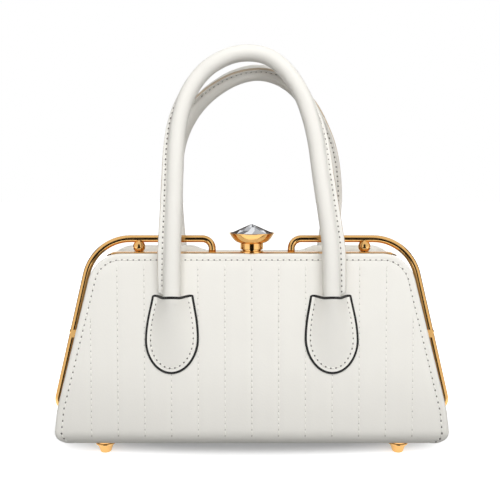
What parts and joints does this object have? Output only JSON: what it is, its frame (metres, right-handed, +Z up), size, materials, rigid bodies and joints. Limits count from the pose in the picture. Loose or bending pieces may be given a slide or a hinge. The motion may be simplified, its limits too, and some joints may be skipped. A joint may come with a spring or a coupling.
{
  "type": "kiss lock frame purse",
  "caption": "Trapezoid leather frame purse with rolled handles on stitched tabs, gilt tube bows, a jewelled snap knob and pleated sides; its halves hinge open above a footed base.",
  "frame": {"origin": "on the table under the middle of the whole part's box", "axes": "+X to the right seen from the front, the front faces -Y, +Z up"},
  "size_m": [0.2594, 0.1008, 0.273],
  "materials": {
    "leather": "smooth ivory leather",
    "board": "fibre board",
    "lining": "woven cloth",
    "cord": "filler cord",
    "gold": "polished gilt",
    "steel": "plated",
    "crystal": "cut facets"
  },
  "bodies": {
    "base": {"base_wrap": "leather", "base_board": "board", "base_lining": "lining", "front_left_foot": "gold", "front_right_foot": "gold", "rear_left_foot": "gold", "rear_right_foot": "gold", "foot_screws": "steel", "foot_washers": "steel", "hinge_bracket_left": "steel", "hinge_bracket_right": "steel", "bracket_rivets": "steel", "gusset_left": "leather", "gusset_right": "leather", "front_fold": "leather", "rear_fold": "leather"},
    "front_half": {"front_panel": "leather", "front_board": "board", "front_lining": "lining", "front_jaw": "gold", "front_jaw_rivets": "gold", "bow_left": "gold", "bow_right": "gold", "ball_post_left": "gold", "ball_post_right": "gold", "side_post_left": "gold", "side_post_right": "gold", "lock_base": "gold", "lock_knob": "gold", "lock_screw": "gold", "crystal": "crystal", "front_tab_left": "leather", "front_tab_right": "leather"},
    "rear_half": {"rear_panel": "leather", "rear_board": "board", "rear_lining": "lining", "rear_jaw": "steel", "rear_top_cover": "leather", "rear_jaw_rivets": "steel", "kiss_catch": "gold", "catch_rivets": "gold", "slip_pocket": "lining", "rear_hinge_left": "steel", "rear_hinge_right": "steel", "rear_tab_left": "leather", "rear_tab_right": "leather"},
    "front_loop": {"front_handle": "leather", "front_handle_core": "cord"},
    "rear_loop": {"rear_handle": "leather", "rear_handle_core": "cord"}
  },
  "joints": [
    {"name": "front_open", "type": "hinge", "parent": "base", "child": "front_half", "pos_m": [0, -0.0415, 0.03], "axis": [1, 0, 0], "range_deg": [0, 15], "deforming": ["gusset_left", "gusset_right", "front_fold"]},
    {"name": "rear_open", "type": "hinge", "parent": "base", "child": "rear_half", "pos_m": [0, 0.0415, 0.03], "axis": [-1, 0, 0], "range_deg": [0, 15], "deforming": ["rear_fold"]},
    {"name": "front_handle_tip", "type": "hinge", "parent": "front_half", "child": "front_loop", "pos_m": [0, -0.03747, 0.10444], "axis": [1, 0, 0], "range_deg": [0, 60]},
    {"name": "rear_handle_tip", "type": "hinge", "parent": "rear_half", "child": "rear_loop", "pos_m": [0, 0.03747, 0.10444], "axis": [-1, 0, 0], "range_deg": [0, 60]}
  ]
}
